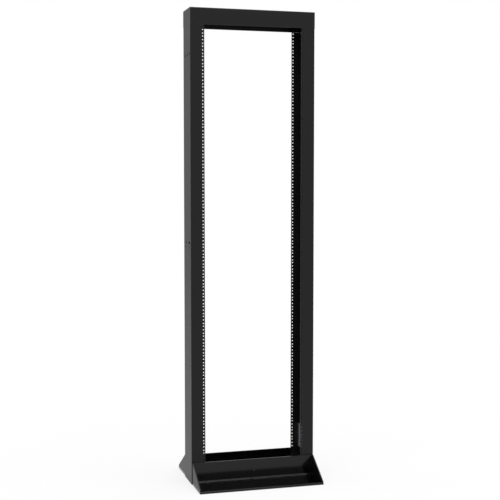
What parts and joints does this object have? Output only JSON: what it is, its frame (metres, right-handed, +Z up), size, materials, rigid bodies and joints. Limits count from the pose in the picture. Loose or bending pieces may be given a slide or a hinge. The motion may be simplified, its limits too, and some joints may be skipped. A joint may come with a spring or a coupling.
{
  "type": "two post open frame rack",
  "caption": "Full-height open steel rack: channel uprights with columns of equipment holes, a header across the top and a welded, gusseted base that bolts to the floor.",
  "frame": {"origin": "on the floor at the centre of the base", "axes": "+Z up, -Y towards the front, X across the rack"},
  "size_m": [0.5778, 0.4608, 2.1336],
  "materials": {
    "upright_powder_coat": "satin black powder coat",
    "header_powder_coat": "satin black powder coat",
    "base_powder_coat": "satin black powder coat",
    "bracket_zinc": "dull zinc plating"
  },
  "bodies": {
    "root": {"left_upright": "upright_powder_coat", "right_upright": "upright_powder_coat", "header": "header_powder_coat", "left_header_splice": "header_powder_coat", "right_header_splice": "header_powder_coat", "front_base_plate": "base_powder_coat", "rear_base_plate": "base_powder_coat", "front_foot_plate": "base_powder_coat", "rear_foot_plate": "base_powder_coat", "left_front_gusset": "base_powder_coat", "right_front_gusset": "base_powder_coat", "left_rear_gusset": "base_powder_coat", "right_rear_gusset": "base_powder_coat", "earthing_bracket": "bracket_zinc"}
  },
  "joints": []
}
